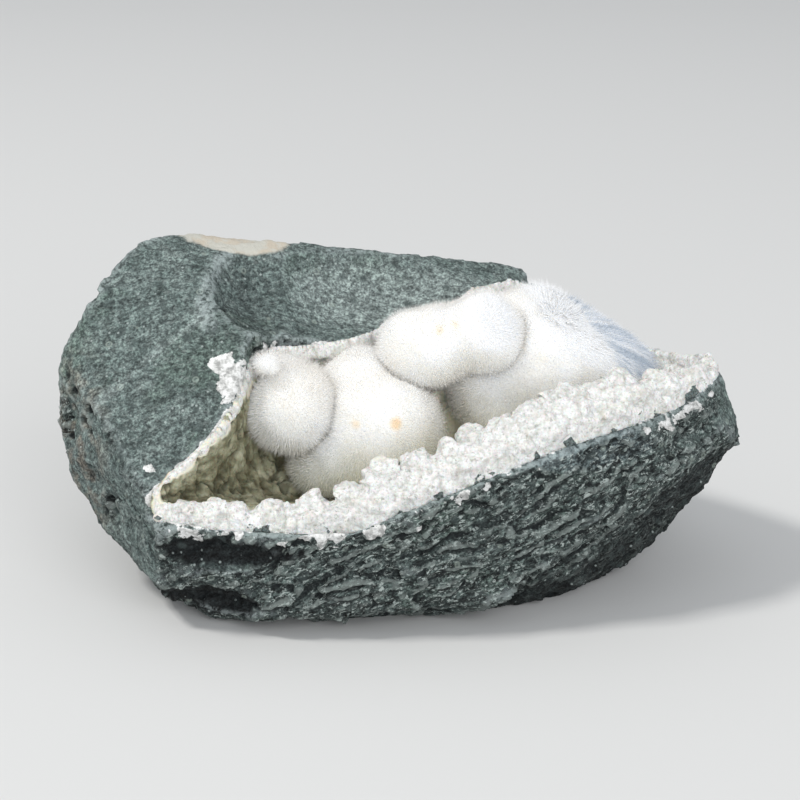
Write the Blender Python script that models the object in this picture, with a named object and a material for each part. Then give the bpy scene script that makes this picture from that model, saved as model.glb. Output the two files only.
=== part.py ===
"""Okenite puffballs grown in a crust-lined hollow of a loose basalt stone.

Blender 4.5, metres, +Z up. +X runs along the stone's length and the hollow opens upward and
towards -Y. The origin is at the bottom centre of the specimen's box, on the flat it rests on.
"""

import math

import bmesh
import bpy
from mathutils import Matrix, Vector, noise
from mathutils.bvhtree import BVHTree

# Driving dimensions. The lists below are drawn in millimetres for a stone 119 mm long.
STONE_LENGTH = 0.119
DRAWN_LENGTH = 119.0
MM = STONE_LENGTH / DRAWN_LENGTH
GAP = 0.3  # clear distance between one piece and the next
STONE_FACET = 5.3  # spacing of the planes that divide the stone's faces
HOLLOW_STEP = 3.4  # distance along X between two sections of the hollow

# Corners of the tall left block with the back ridge
LEFT_BLOCK = [
    # crown at the top left
    (-47, 12, 55.5), (-43.5, 14, 57.5), (-39, 18, 57), (-50, 8, 52.5),
    # back ridge, falling to the right
    (-21, 20, 55), (-9.5, 24, 52.5), (-3, 26, 50), (13.5, 30, 49), (22, 31, 47.5), (24.4, 30, 46.4),
    # rounded left end
    (-53.5, 4, 48.5), (-58, 0, 40.5), (-59, -2, 35), (-59, -2, 26.5), (-56, -4, 18),
    (-51.5, -8, 12), (-45.5, -14, 9), (-41, -19, 6.5), (-39, -21, 4.5),
    # ridge between the broad left face and the pitted end
    (-53.5, -8, 36.5), (-48.5, -14, 33), (-44, -20, 26.5), (-39.5, -27, 18), (-39, -25, 8),
    # ridge between the left face and the scooped ledge
    (-31.5, 8, 54), (-32.5, 2, 50), (-31.5, -4, 46),
    # front edge of the hollow
    (-38, -29, 20.8), (-22, -31, 20), (-9, -31, 19.5), (0.5, -30.5, 22.5), (13.5, -28.5, 27.5),
    # foot of the front face, above the undercut
    (-29, -27, 4.5), (-11, -28.5, 4.5), (7, -27, 5), (18, -25, 6.5),
    # flat underside
    (-30, -20, 0), (-5, -21.5, 0), (17, -17, 0), (28, -12, 0), (34, 2, 0), (30, 20, 0),
    (16, 30, 0), (-18, 32, 0), (-36, 22, 0), (-40, 4, 0),
    # back, out of sight
    (-53, 20, 38), (-45, 31, 24), (-22, 38, 37), (6, 40, 31), (17, 38, 27),
]  # fmt: skip

# Corners of the lower right block, which ends in a sharp wedge
RIGHT_BLOCK = [
    # front edge of the hollow
    (8, -29.5, 25.5), (26.5, -25.5, 31.8), (40, -19, 34), (49.5, -11, 34.8), (54, -4.5, 37.2),
    # wedge at the right end
    (54.8, 2, 39.6), (54.4, 8, 37.6), (57.2, 2, 33.5), (59.5, 0, 28), (60, 0, 23.5), (57, 2, 20.5),
    # lower edge of the front face, where the dark underside turns in
    (16, -26, 14), (33.5, -22.5, 18), (44, -17, 24), (55.5, -7, 29),
    # dark underside
    (36, -4, 1), (46.5, 2, 4), (20, -24, 7), (28, -13.5, 0.5),
    # flat underside
    (-5, -21, 0), (17, -17, 0), (28, -12, 0), (34, 2, 0), (30, 20, 0), (16, 30, 0),
    # back wall, lower towards the right end
    (14, 32, 47), (27, 28.5, 44.2), (34, 26, 40.8), (41, 23, 36), (45, 21, 34), (10, 39, 27),
    (28, 37, 26), (42, 31, 23), (53, 18, 22), (36, 30, 7),
]  # fmt: skip

# Notch under the wedge at the right end, given the same way
NOTCH = ((61.5, 8, 12.5), (7.0, 22, 9.0), 0)

# The scooped ledge above the hollow: centre, half sizes and turn in degrees of rounded cutters
SCOOPS = [
    ((-4, 7.5, 62), (33, 17, 22), 25), ((-20, 1.5, 60), (14.5, 15, 17), 14),
    ((13, 17, 61), (17, 11, 15.5), 25),
]  # fmt: skip

# Chips broken from the front face and the left end, given the same way
CHIPS = [
    ((-30.5, -32.2, 14.6), (11.5, 5.2, 4.0), 3), ((-31, -28.8, 5.2), (10, 5.0, 3.8), -8),
    ((3, -32.5, 11), (11, 4.2, 3.4), 6), ((27, -27.5, 13), (9, 4.5, 4), 12),
    ((45, -22, 16), (10, 6, 4.5), 35), ((-58, -8, 30), (4, 6, 9), 20), ((-51, -17, 15), (5, 5, 7), 40),
]  # fmt: skip

# Sections of the hollow: x, front edge y z, back edge y z, depth, height of the crust's lip
SECTIONS = [
    (-39.5, -28.4, 21.0, -25.6, 24.6, 2.2, 1.4),
    (-37.0, -28.4, 20.8, -24.6, 27.0, 4.0, 2.4),
    (-33.5, -28.9, 20.3, -21.8, 29.2, 8.0, 2.8),
    (-29.5, -29.6, 20.2, -18.2, 32.0, 11.5, 2.9),
    (-26.8, -29.8, 20.1, -13.5, 35.4, 14.0, 2.5),
    (-24.8, -30.0, 20.0, -5.5, 40.3, 16.0, 2.3),
    (-21.5, -30.0, 19.8, -0.5, 40.6, 17.5, 2.3),
    (-16.0, -30.0, 19.4, 2.5, 39.8, 18.5, 3.5),
    (-9.0, -30.0, 19.0, 5.5, 39.9, 19.0, 4.8),
    (-2.0, -29.6, 21.3, 9.0, 41.8, 19.5, 5.4),
    (6.0, -28.6, 24.6, 13.0, 43.5, 20.0, 5.4),
    (13.4, -27.2, 27.4, 17.5, 46.0, 20.0, 5.8),
    (20.0, -25.6, 29.8, 22.0, 46.2, 19.5, 6.2),
    (26.5, -24.0, 31.8, 25.5, 44.2, 18.0, 6.2),
    (33.0, -21.0, 33.0, 25.5, 40.0, 14.0, 6.0),
    (40.0, -17.6, 34.0, 22.5, 35.6, 9.0, 5.2),
    (46.5, -12.4, 34.6, 19.0, 34.0, 5.5, 3.8),
    (51.5, -7.0, 36.0, 12.5, 35.0, 3.5, 2.6),
    (55.0, -2.5, 37.6, 7.0, 37.2, 2.0, 1.0),
]  # fmt: skip

# Shape of a section between its edges: part of the way across, part of the depth
PROFILE = [
    (0.0, 0.0), (0.06, 0.22), (0.16, 0.47), (0.30, 0.76), (0.45, 0.95), (0.60, 1.0),
    (0.75, 0.92), (0.90, 0.68), (0.98, 0.40), (1.03, 0.18), (1.0, 0.0),
]  # fmt: skip

# Crust thickness along the same section
CRUST = [4.0, 3.4, 3.0, 2.6, 2.2, 2.0, 1.9, 1.8, 1.6, 1.4, 1.3]

# Rounded knobs grown on the crust: centre and radius
KNOBS = [
    (-34.0, -27.4, 21.6, 1.7), (-30.2, -27.0, 21.9, 1.5), (-25.7, -27.6, 21.2, 1.6),
    (-20.4, -27.6, 20.8, 1.5), (-13.2, -27.2, 22.0, 2.1), (-7.6, -25.8, 24.2, 2.2),
    (-2.4, -24.4, 26.6, 3.4), (3.9, -24.4, 28.2, 3.0), (8.6, -22.6, 29.8, 2.2),
    (12.3, -17.5, 31.4, 3.8), (17.8, -21.3, 32.4, 2.3), (23.2, -20.3, 35.0, 2.4),
    (28.0, -18.4, 36.4, 3.4), (33.1, -15.6, 37.3, 2.4), (37.4, -13.2, 38.1, 3.2),
    (43.2, -8.4, 38.2, 3.0), (49.2, -2.2, 37.6, 2.6), (46.3, 4.5, 36.2, 3.3), (52.4, 2.2, 37.6, 1.6),
]  # fmt: skip

# Balls: name, lobes of centre and half sizes, number of surface points
BALLS = [
    ("puffball_left", [((-18, -4, 31.6), (7.9, 8.4, 8.0)), ((-19.7, -1, 36), (5.2, 6, 5))], 170),
    (
        "puffball_upper",
        [((4.8, 0.5, 41.1), (8.2, 7.8, 6.9)), ((14.8, 0, 43.8), (7.2, 7.4, 6.9)), ((9.3, 6, 41.5), (8, 6, 6))],
        260,
    ),
    (
        "puffball_centre",
        [
            ((-2.9, -3, 27.7), (10.8, 11, 11)), ((-6.1, 1.5, 33.3), (8.0, 8, 7.4)),
            ((-9, -4, 24.2), (7.5, 8, 7.8)), ((-12.3, -3.6, 21.6), (6.8, 6.9, 6.4)),
        ],
        260,
    ),
    (
        "puffball_right",
        [((26.6, 8.5, 35.0), (15.6, 14.6, 14.8)), ((20, 6, 34), (12, 12, 12)), ((35.5, 10, 33.5), (11, 11, 9.4))],
        300,
    ),
    ("puffball_tuft", [((-21.7, -7.2, 40.4), (2.7, 3.2, 2.5))], 46),
]  # fmt: skip

# Crater at the right end of the upper ball: centre, reach and depth
CRATER = ((16.8, -5.0, 47.8), 5.4, 2.6)
CRATER_HEART = (14.8, 0.0, 43.8)

# Broken side of the right ball: a point on it and the direction it faces
BREAK_POINT = Vector((34.5, 15.0, 43.6))
BREAK_NORMAL = Vector((0.51, -0.14, 0.85))


def mesh_object(name, bm):
    """An object that holds the bmesh, which is freed."""
    mesh = bpy.data.meshes.new(name)
    bmesh.ops.recalc_face_normals(bm, faces=bm.faces)
    bm.to_mesh(mesh)
    bm.free()
    obj = bpy.data.objects.new(name, mesh)
    bpy.context.scene.collection.objects.link(obj)
    return obj


def edited(obj):
    """A bmesh with the object's mesh."""
    bm = bmesh.new()
    bm.from_mesh(obj.data)
    return bm


def stored(obj, bm):
    """Writes the bmesh back to the object."""
    bmesh.ops.recalc_face_normals(bm, faces=bm.faces)
    bm.to_mesh(obj.data)
    bm.free()
    obj.data.update()


def combined(target, other, operation):
    """Applies a Boolean of other to target, and removes other."""
    modifier = target.modifiers.new("combine", "BOOLEAN")
    modifier.operation = operation
    modifier.object = other
    modifier.solver = "EXACT"
    graph = bpy.context.evaluated_depsgraph_get()
    graph.update()
    mesh = bpy.data.meshes.new_from_object(target.evaluated_get(graph))
    target.modifiers.clear()
    old = target.data
    target.data = mesh
    bpy.data.meshes.remove(old)
    bpy.data.objects.remove(other)
    return target


def hull(corners):
    """The convex hull of some corners."""
    bm = bmesh.new()
    for corner in corners:
        bm.verts.new(corner)
    bmesh.ops.convex_hull(bm, input=bm.verts)
    inside = [v for v in bm.verts if not v.link_faces]
    bmesh.ops.delete(bm, geom=inside, context="VERTS")
    return bm


def rounded(name, centre, sizes, turn, points):
    """An ellipsoid of the given half sizes, turned about the vertical."""
    spin = Matrix.Rotation(math.radians(turn), 3, "Z")
    corners = [Vector(centre) + spin @ (Vector(sizes) * d) for d in directions(points)]
    return mesh_object(name, hull(corners))


def directions(count):
    """Evenly spread unit vectors."""
    turn = math.pi * (3.0 - math.sqrt(5.0))
    out = []
    for i in range(count):
        z = 1.0 - (2.0 * i + 1.0) / count
        r = math.sqrt(1.0 - z * z)
        out.append(Vector((r * math.cos(turn * i), r * math.sin(turn * i), z)))
    return out


def folds(vert, target):
    """True if moving a corner onto another would turn one of its faces over."""
    for face in vert.link_faces:
        if target in face.verts:
            continue
        a, b, c = (target.co if v is vert else v.co for v in face.verts)
        if (b - a).cross(c - a).normalized().dot(face.normal) < 0.5:
            return True
    return False


def merge_short_edges(bm, length):
    """Draws the two ends of short edges together, where the surface stays closed."""
    touched = set()
    pairs = {}
    for edge in sorted(bm.edges, key=lambda e: (e.calc_length(), e.index)):
        if edge.calc_length() > length:
            break
        one, two = edge.verts
        around_one = {e.other_vert(one) for e in one.link_edges}
        around_two = {e.other_vert(two) for e in two.link_edges}
        ring = around_one | around_two
        if len(around_one & around_two) != 2 or ring & touched or folds(one, two):
            continue
        touched |= ring
        pairs[one] = two
    bmesh.ops.weld_verts(bm, targetmap=pairs)
    bm.edges.index_update()


def divide(obj, spacing):
    """Cuts the faces by slightly tilted planes, so that broad faces get many facets."""
    bm = edited(obj)
    for axis in range(3):
        count = int(150 / spacing)
        for i in range(-count // 2, count // 2 + 1):
            tilt = Vector((0.13 * math.sin(2.1 * i), 0.12 * math.cos(1.7 * i), 0.11 * math.sin(1.3 * i)))
            tilt[axis] = 1.0
            point = Vector((0.0, 0.0, 0.0))
            point[axis] = spacing * (i + 0.25 * math.sin(3.7 * i))
            geom = list(bm.verts) + list(bm.edges) + list(bm.faces)
            bmesh.ops.bisect_plane(bm, geom=geom, dist=0.01, plane_co=point, plane_no=tilt)
    bmesh.ops.triangulate(bm, faces=bm.faces)
    for _ in range(10):
        bm.normal_update()
        merge_short_edges(bm, 0.42 * spacing)
    stored(obj, bm)


def ledges(point):
    """Height of the broken stone surface: stacked ledges that rise to the right."""
    tilted = Vector((point.x * 0.06, point.y * 0.06, point.z * 0.24 - point.x * 0.07))
    fine = noise.noise(tilted * 2.3 + Vector((7.1, 2.2, 4.4)))
    return noise.noise(tilted) + 0.5 * fine


def roughen(obj):
    """Moves the stone's points along their normals: strong on the hackly faces, little on the rest."""
    bm = edited(obj)
    bm.normal_update()
    moves = []
    for vert in bm.verts:
        normal = vert.normal
        front = max(0.0, -normal.y) * max(0.0, 1.0 - 1.5 * max(0.0, normal.z))
        low = max(0.0, -normal.z)
        left = max(0.0, -normal.x)
        strength = 0.3 + 1.2 * front + 0.55 * low + 0.15 * left
        if vert.co.z < 0.05 and normal.z < -0.5:
            strength = 0.0
        height = ledges(vert.co) * strength
        moves.append((vert, normal * height))
    for vert, move in moves:
        flat = vert.co.z < 0.05
        vert.co += move
        if flat:
            vert.co.z = 0.0
        vert.co.z = max(vert.co.z, 0.0)
    stored(obj, bm)


def wall_path(row):
    """Front, bottom and back of the hollow in one section, as y z pairs."""
    _, fy, fz, by, bz, depth, _ = row
    across = Vector((by - fy, bz - fz))
    down = Vector((across.y, -across.x)).normalized()
    undercut = min(1.0, depth / 19.0)
    path = []
    for u, v in PROFILE:
        u = 1.0 + (u - 1.0) * undercut if u > 1.0 else u
        path.append(Vector((fy, fz)) + across * u + down * depth * v)
    return path


def offset_path(path, distances):
    """The path moved outward, away from the open hollow, by one distance a point."""
    out = []
    last = len(path) - 1
    for i, point in enumerate(path):
        along = path[min(i + 1, last)] - path[max(i - 1, 0)]
        out.append(point + Vector((along.y, -along.x)).normalized() * distances[i])
    return out


def lip_path(row):
    """The crust's lip on the front edge, from the stone inward."""
    _, fy, fz, by, bz, _, lip = row
    lip = min(lip, 0.24 * math.hypot(by - fy, bz - fz))
    shape = [(-0.05, 0.45), (0.20, 0.88), (0.60, 1.0), (0.95, 0.80)]
    return [Vector((fy + lip * y, fz + lip * z)) for y, z in shape]


def section_list():
    """The drawn sections with others set evenly between them."""
    rows = [list(SECTIONS[0])]
    for low, high in zip(SECTIONS, SECTIONS[1:]):
        count = math.ceil((high[0] - low[0]) / HOLLOW_STEP)
        for i in range(1, count + 1):
            rows.append([a + (b - a) * i / count for a, b in zip(low, high)])
    return rows


def thickness(row):
    """Crust thickness down the wall, thin where the hollow is shallow or narrow."""
    _, fy, fz, by, bz, depth, _ = row
    part = min(1.0, 0.25 + depth / 9.0)
    most = 0.2 * min(math.hypot(by - fy, bz - fz), 1.7 * depth)
    return [min(t * part, most) for t in CRUST]


def loft(name, rings):
    """A closed body through rings of (x, y, z) points."""
    bm = bmesh.new()
    grid = [[bm.verts.new(p) for p in ring] for ring in rings]
    size = len(grid[0])
    for one, two in zip(grid, grid[1:]):
        for k in range(size):
            n = (k + 1) % size
            bm.faces.new((one[k], one[n], two[n], two[k]))
    for ring in (grid[0], grid[-1]):
        cap = bm.faces.new(ring)
        cap.normal_update()
        bmesh.ops.triangulate(bm, faces=[cap], ngon_method="EAR_CLIP")
    bm.normal_update()
    bmesh.ops.triangulate(bm, faces=[f for f in bm.faces if len(f.verts) > 3])
    return mesh_object(name, bm)


def lumps(point):
    """Height of the botryoidal crust: rounded knobs with creases between them."""
    near = noise.voronoi(point * 0.27)[0][0]
    small = noise.noise(point * 0.55)
    return 0.55 - 0.95 * near + 0.35 * small


def build_crust(rows):
    rings = []
    for row in rows:
        outer = wall_path(row)
        inner = offset_path(outer, [-t for t in thickness(row)])
        back_lip = outer[-1] + Vector((-0.5, 0.8))
        if row[0] in (SECTIONS[0][0], SECTIONS[-1][0]):
            start = lip_path(row)[-1]
            inner = [start.lerp(back_lip, (i + 1) / (len(outer) + 1)) for i in range(len(outer))]
        path = outer + [back_lip] + inner[:1:-1] + lip_path(row)[::-1]
        rings.append([Vector((row[0], p.x, p.y)) for p in path])
    free_from = len(PROFILE)
    centres = [sum(ring[free_from:], Vector()) / (len(ring) - free_from) for ring in rings]
    for r, ring in enumerate(rings):
        _, fy, fz, by, bz, depth, _ = rows[r]
        strength = max(0.0, min(1.0, (math.hypot(by - fy, bz - fz) - 5.0) / 14.0))
        if r in (0, len(rings) - 1):
            strength = 0.0
        shallow = min(1.0, depth / 7.0)
        for k in range(free_from, len(ring)):
            away = ring[k] - centres[r]
            if k >= len(ring) - 4:
                sway = 1.1 * noise.noise(ring[k] * 0.31 + Vector((5.0, 1.0, 3.0)))
                push = Vector((0.0, -0.3, 1.0))
                ring[k] = ring[k] + Vector((sway, 0.4 * abs(sway), 0.0)) * strength
                strong = 2.1
            else:
                push = -away.normalized()
                push.z = abs(push.z)
                strong = 0.9 * shallow
            ring[k] = ring[k] + push * lumps(ring[k]) * strength * strong
    crust = loft("hollow_crust", rings)
    tree = BVHTree.FromPolygons([v.co for v in crust.data.vertices], [p.vertices for p in crust.data.polygons])
    knobs = []
    for x, y, z, radius in KNOBS:
        near, normal, _, _ = tree.find_nearest(Vector((x, y, z)))
        knobs.append((near + normal * 0.1 * radius, radius))
    for centre, radius in knobs:
        knob = knob_body("knob", centre, radius, 0.0)
        combined(knob, build_cutter("crust_limit", -0.5 * GAP), "INTERSECT")
        combined(crust, knob, "UNION")
    return crust, knobs


def knob_body(name, centre, radius, grow):
    """One uneven knob of the crust, or the clear space round it."""
    bm = hull(directions(24))
    for vert in bm.verts:
        swell = 1.0 + 0.28 * noise.noise(vert.co * 1.7 + centre)
        vert.co = centre + vert.co * (radius * swell + grow)
    return mesh_object(name, bm)


def build_cutter(name, clear):
    """The crust's outside moved out by a clear distance, and all the space above its mouth."""
    ends = [list(SECTIONS[0]), *SECTIONS, list(SECTIONS[-1])]
    ends[0][0] -= 0.4 + clear
    ends[-1][0] += 0.4 + clear
    rings = []
    for row in ends:
        outer = offset_path(wall_path(row), [clear] * len(PROFILE))
        front = outer[0]
        back = outer[-1]
        lip = lip_path(row)[0] + Vector((-clear, 0.0))
        path = [Vector((front.x - 2.7, 90.0)), lip + Vector((-2.3, 0.5)), lip + Vector((-1.3, -0.9))]
        path += [front + Vector((-0.3, 0.2))] + outer[1:-1]
        path += [back + Vector((0.0, 0.3)), back + Vector((0.15, 2.0)), Vector((back.x + 0.15, 90.0))]
        rings.append([Vector((row[0], p.x, p.y)) for p in path])
    return loft(name, rings)


def build_room():
    """The space inside the crust in which the balls may stand."""
    rings = []
    for row in SECTIONS[2:-2]:
        depth = [-(t + GAP + 0.75) for t in thickness(row)]
        inner = offset_path(wall_path(row), depth)
        lip = lip_path(row)[-1] + Vector((GAP + 0.4, 0.0))
        back = min(inner[-2].x, inner[-1].x)
        roof = max(inner[-2].y, inner[-3].y + 0.5)
        path = [Vector((lip.x, 90.0)), lip] + inner[2:-2] + [Vector((back, roof)), Vector((back, 90.0))]
        rings.append([Vector((row[0], p.x, p.y)) for p in path])
    return loft("room", rings)


def ray_exit(origin, direction, lobe):
    """Distance along a ray at which it leaves an ellipsoid, or 0 if it misses."""
    centre, sizes = Vector(lobe[0]), Vector(lobe[1])
    o = Vector((origin - centre)[i] / sizes[i] for i in range(3))
    d = Vector(direction[i] / sizes[i] for i in range(3))
    a = d.dot(d)
    b = o.dot(d)
    c = o.dot(o) - 1.0
    root = b * b - a * c
    if root < 0.0:
        return 0.0
    return max(0.0, (-b + math.sqrt(root)) / a)


def ball_body(name, lobes, points, grow=0.0):
    """A ball round its lobes, its skin spiky with the tips of fibres."""
    origin = sum((Vector(lobe[0]) for lobe in lobes), Vector()) / len(lobes)
    bm = hull(directions(points))
    for vert in bm.verts:
        direction = vert.co.normalized()
        reach = max(ray_exit(origin, direction, lobe) for lobe in lobes)
        spike = 0.5 * noise.cell(direction * 41.0 + origin)
        swell = 0.35 * noise.noise(direction * 2.2 + origin)
        reach += grow + (spike - 0.2 + swell if grow == 0.0 else 0.85)
        if name == "puffball_right":
            reach = min(reach, broken_reach(origin, direction))
        vert.co = origin + direction * reach
    if name == "puffball_upper":
        sink_crater(bm)
    return mesh_object(name, bm)


def sink_crater(bm):
    """Presses the broken crater into the right end of the upper ball."""
    centre = Vector(CRATER[0])
    for vert in bm.verts:
        away = (vert.co - centre).length / CRATER[1]
        if away < 1.25:
            dip = CRATER[2] * max(0.0, 1.0 - away * away)
            rim = 0.55 * math.exp(-(((away - 1.05) / 0.16) ** 2))
            inward = (Vector(CRATER_HEART) - vert.co).normalized()
            vert.co += inward * (dip - rim)


def broken_reach(origin, direction):
    """Distance from the right ball's middle to its broken side, which has radial ridges."""
    normal = BREAK_NORMAL.normalized()
    rise = direction.dot(normal)
    if rise < 0.2:
        return 1000.0
    side = normal.cross(Vector((0.0, 1.0, 0.0))).normalized()
    angle = math.atan2(direction.dot(normal.cross(side)), direction.dot(side))
    ridge = 0.7 * math.sin(6.0 * angle + 0.8) * min(1.0, 2.0 * (1.0 - rise))
    return ((BREAK_POINT - origin).dot(normal) + ridge) / rise


def build_balls(knobs):
    made = []
    for name, lobes, points in BALLS:
        ball = ball_body(name, lobes, points)
        combined(ball, build_room(), "INTERSECT")
        for centre, radius in knobs:
            if min((centre - v.co).length for v in ball.data.vertices) < radius + 2.5:
                combined(ball, knob_body("knob_space", centre, radius, 1.8 * GAP), "DIFFERENCE")
        for other in BALLS[:len(made)]:
            combined(ball, ball_body(other[0] + "_space", other[1], 130, GAP), "DIFFERENCE")
        made.append(ball)
    return made


def build_stone():
    stone = mesh_object("basalt_stone", hull(LEFT_BLOCK))
    combined(stone, mesh_object("right_block", hull(RIGHT_BLOCK)), "UNION")
    for scoop in SCOOPS:
        combined(stone, rounded("scoop", *scoop, 260), "DIFFERENCE")
    for chip in [NOTCH, *CHIPS]:
        combined(stone, rounded("chip", *chip, 60), "DIFFERENCE")
    divide(stone, STONE_FACET)
    roughen(stone)
    combined(stone, build_cutter("hollow", 1.15 * GAP), "DIFFERENCE")
    return stone


def material(name, colour, roughness):
    made = bpy.data.materials.new(name)
    made.use_nodes = True
    shader = made.node_tree.nodes["Principled BSDF"]
    shader.inputs["Base Color"].default_value = (*colour, 1.0)
    shader.inputs["Roughness"].default_value = roughness
    return made


def box_bottom(objects):
    """The bottom centre of the box round all the objects."""
    points = [v.co for obj in objects for v in obj.data.vertices]
    low = [min(p[i] for p in points) for i in range(3)]
    high = [max(p[i] for p in points) for i in range(3)]
    return Vector(((low[0] + high[0]) / 2.0, (low[1] + high[1]) / 2.0, low[2]))


def finish(obj, origin, surface):
    """Brings the drawn millimetres to metres from the origin, and gives the piece its material."""
    bm = edited(obj)
    bmesh.ops.remove_doubles(bm, verts=bm.verts, dist=0.02)
    bmesh.ops.triangulate(bm, faces=bm.faces)
    for vert in bm.verts:
        vert.co = (vert.co - origin) * MM
    stored(obj, bm)
    obj.data.materials.clear()
    obj.data.materials.append(surface)


def main():
    for obj in list(bpy.data.objects):
        bpy.data.objects.remove(obj)
    rows = section_list()
    basalt = material("basalt", (0.17, 0.21, 0.19), 0.85)
    druse = material("druse", (0.86, 0.85, 0.78), 0.7)
    okenite = material("okenite", (0.93, 0.91, 0.87), 0.8)
    stone = build_stone()
    crust, knobs = build_crust(rows)
    balls = build_balls(knobs)
    origin = box_bottom([stone, crust, *balls])
    finish(stone, origin, basalt)
    finish(crust, origin, druse)
    for ball in balls:
        finish(ball, origin, okenite)


main()
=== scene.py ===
import math

import bmesh
import bpy
import numpy as np
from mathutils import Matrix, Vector, noise
from mathutils.bvhtree import BVHTree


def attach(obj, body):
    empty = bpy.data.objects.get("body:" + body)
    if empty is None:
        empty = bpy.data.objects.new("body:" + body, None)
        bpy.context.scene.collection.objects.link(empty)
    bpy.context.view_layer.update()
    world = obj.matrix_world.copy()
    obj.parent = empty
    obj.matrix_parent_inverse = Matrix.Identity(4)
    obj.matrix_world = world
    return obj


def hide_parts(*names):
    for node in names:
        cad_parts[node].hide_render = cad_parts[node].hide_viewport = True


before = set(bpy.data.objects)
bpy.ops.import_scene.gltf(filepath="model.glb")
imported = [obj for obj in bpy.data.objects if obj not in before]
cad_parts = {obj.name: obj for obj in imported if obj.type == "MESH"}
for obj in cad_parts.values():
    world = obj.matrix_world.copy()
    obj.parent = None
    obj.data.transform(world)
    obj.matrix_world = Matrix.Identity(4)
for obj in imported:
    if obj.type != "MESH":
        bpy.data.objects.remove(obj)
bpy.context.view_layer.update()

MM = 0.001

# How finely each surface is made
STONE_GRAIN = 0.37 * MM
STONE_FACES = 196000
CRUST_GRAIN = 0.36 * MM
CRUST_FACES = 196000
BALL_GRAIN = 0.70 * MM

# Draw of the smooth noise that wobble() bends chips and lumps with, the same each run
WAVE_SEED = 1795602839
noise.seed_set(WAVE_SEED)

# Points that the fibres of each ball grow from, with the reach of that part of the ball
HEARTS = {
    "puffball_left": [((-18.6, -8.4, 31.6), 8.1), ((-20.3, -5.4, 36.0), 5.4)],
    "puffball_upper": [
        ((4.2, -3.9, 41.1), 7.6), ((14.2, -4.4, 43.8), 7.1), ((8.7, 1.6, 41.5), 6.8),
    ],
    "puffball_centre": [
        ((-3.5, -7.4, 27.7), 10.9), ((-6.7, -2.9, 33.3), 7.8),
        ((-9.6, -8.4, 24.2), 7.7), ((-12.9, -8.0, 21.6), 6.7),
    ],
    "puffball_right": [
        ((26.0, 4.1, 35.0), 15.0), ((19.4, 1.6, 34.0), 12.0), ((34.9, 5.6, 33.5), 10.8),
    ],
    "puffball_tuft": [((-22.3, -11.6, 40.4), 2.8)],
}  # fmt: skip

# Front edge of the hollow's inner wall and the thin edge at its back: x and y, and x, y and z
LIP_CREST = [
    (-40, -31.5), (-30, -31.2), (-22, -31.6), (-16, -30.6), (-9, -29.6), (-2, -29.0),
    (13, -26.5), (27, -23.0), (33, -19.5), (40, -16.8), (46, -13.0), (51, -8.8),
]  # fmt: skip
BACK_RIM = [
    (-40.1, -30.0, 24.6), (-37.6, -29.0, 27.0), (-34.1, -26.2, 29.2), (-30.1, -22.6, 32.0),
    (-27.4, -17.9, 35.4), (-25.4, -9.9, 40.3), (-22.1, -4.9, 40.6), (-16.6, -1.9, 39.8),
    (-9.6, 1.1, 39.9), (-2.6, 4.6, 41.8), (5.4, 8.6, 43.5), (12.8, 13.1, 46.0),
    (19.4, 17.6, 46.2), (26.0, 21.1, 44.2), (32.4, 21.1, 40.0),
]  # fmt: skip

# The broken side of the right ball: a point on it, the way it faces, and where its fibres meet
BREAK_POINT = (33.9, 10.6, 43.6)
BREAK_NORMAL = (0.51, -0.14, 0.85)
BREAK_HEART = (26.5, -1.0, 45.5)

# The crater at the right end of the upper ball: its middle, its reach and where its fibres meet
CRATER = (16.2, -9.4, 47.8)
CRATER_REACH = 5.4
CRATER_HEART = (12.6, -8.0, 46.0)

# Fur of each ball: how far the core lies under the skin, length of the fibres, their number,
# their width, how far they stray from straight out, and the seed. Lengths are in millimetres.
FUR = (
    ("puffball_left", 0.5, 1.9, 6500, 0.10, 0.25, 1),
    ("puffball_upper", 0.4, 1.4, 12000, 0.10, 0.30, 2),
    ("puffball_centre", 0.4, 1.4, 15000, 0.10, 0.30, 3),
    ("puffball_right", 0.4, 1.4, 18000, 0.10, 0.30, 4),
    ("puffball_tuft", 0.4, 1.3, 600, 0.10, 0.35, 5),
)


# Mesh helpers


def linked(name, mesh):
    """A new object with the mesh, in the scene."""
    obj = bpy.data.objects.new(name, mesh)
    bpy.context.scene.collection.objects.link(obj)
    return obj


def merged_copy(node, name):
    """A copy of a CAD node as one closed skin, to work on."""
    bm = bmesh.new()
    bm.from_mesh(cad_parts[node].data)
    bmesh.ops.remove_doubles(bm, verts=bm.verts, dist=1e-6)
    mesh = bpy.data.meshes.new(name)
    bm.to_mesh(mesh)
    bm.free()
    return linked(name, mesh)


def settled(obj):
    """Makes the object's modifiers part of its mesh."""
    graph = bpy.context.evaluated_depsgraph_get()
    mesh = bpy.data.meshes.new_from_object(obj.evaluated_get(graph))
    worn_out = obj.data
    obj.modifiers.clear()
    obj.data = mesh
    bpy.data.meshes.remove(worn_out)
    mesh.name = obj.name
    return obj


def reskinned(obj, grain):
    """Gives the object an even skin of small faces."""
    skin = obj.modifiers.new("even skin", "REMESH")
    skin.mode = "VOXEL"
    skin.voxel_size = grain
    skin.use_smooth_shade = True
    return settled(obj)


def thinned(obj, faces):
    """Merges the flattest small faces until that many triangles are left."""
    thin = obj.modifiers.new("thin", "DECIMATE")
    thin.ratio = min(1.0, faces / sum(len(p.vertices) - 2 for p in obj.data.polygons))
    return settled(obj)


def points(mesh):
    """The place of each point, in metres."""
    co = np.empty(len(mesh.vertices) * 3, np.float32)
    mesh.vertices.foreach_get("co", co)
    return co.reshape(-1, 3).astype(float)


def move_points(mesh, co):
    """Moves each point to its new place."""
    mesh.vertices.foreach_set("co", co.astype(np.float32).ravel())
    mesh.update()


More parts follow.
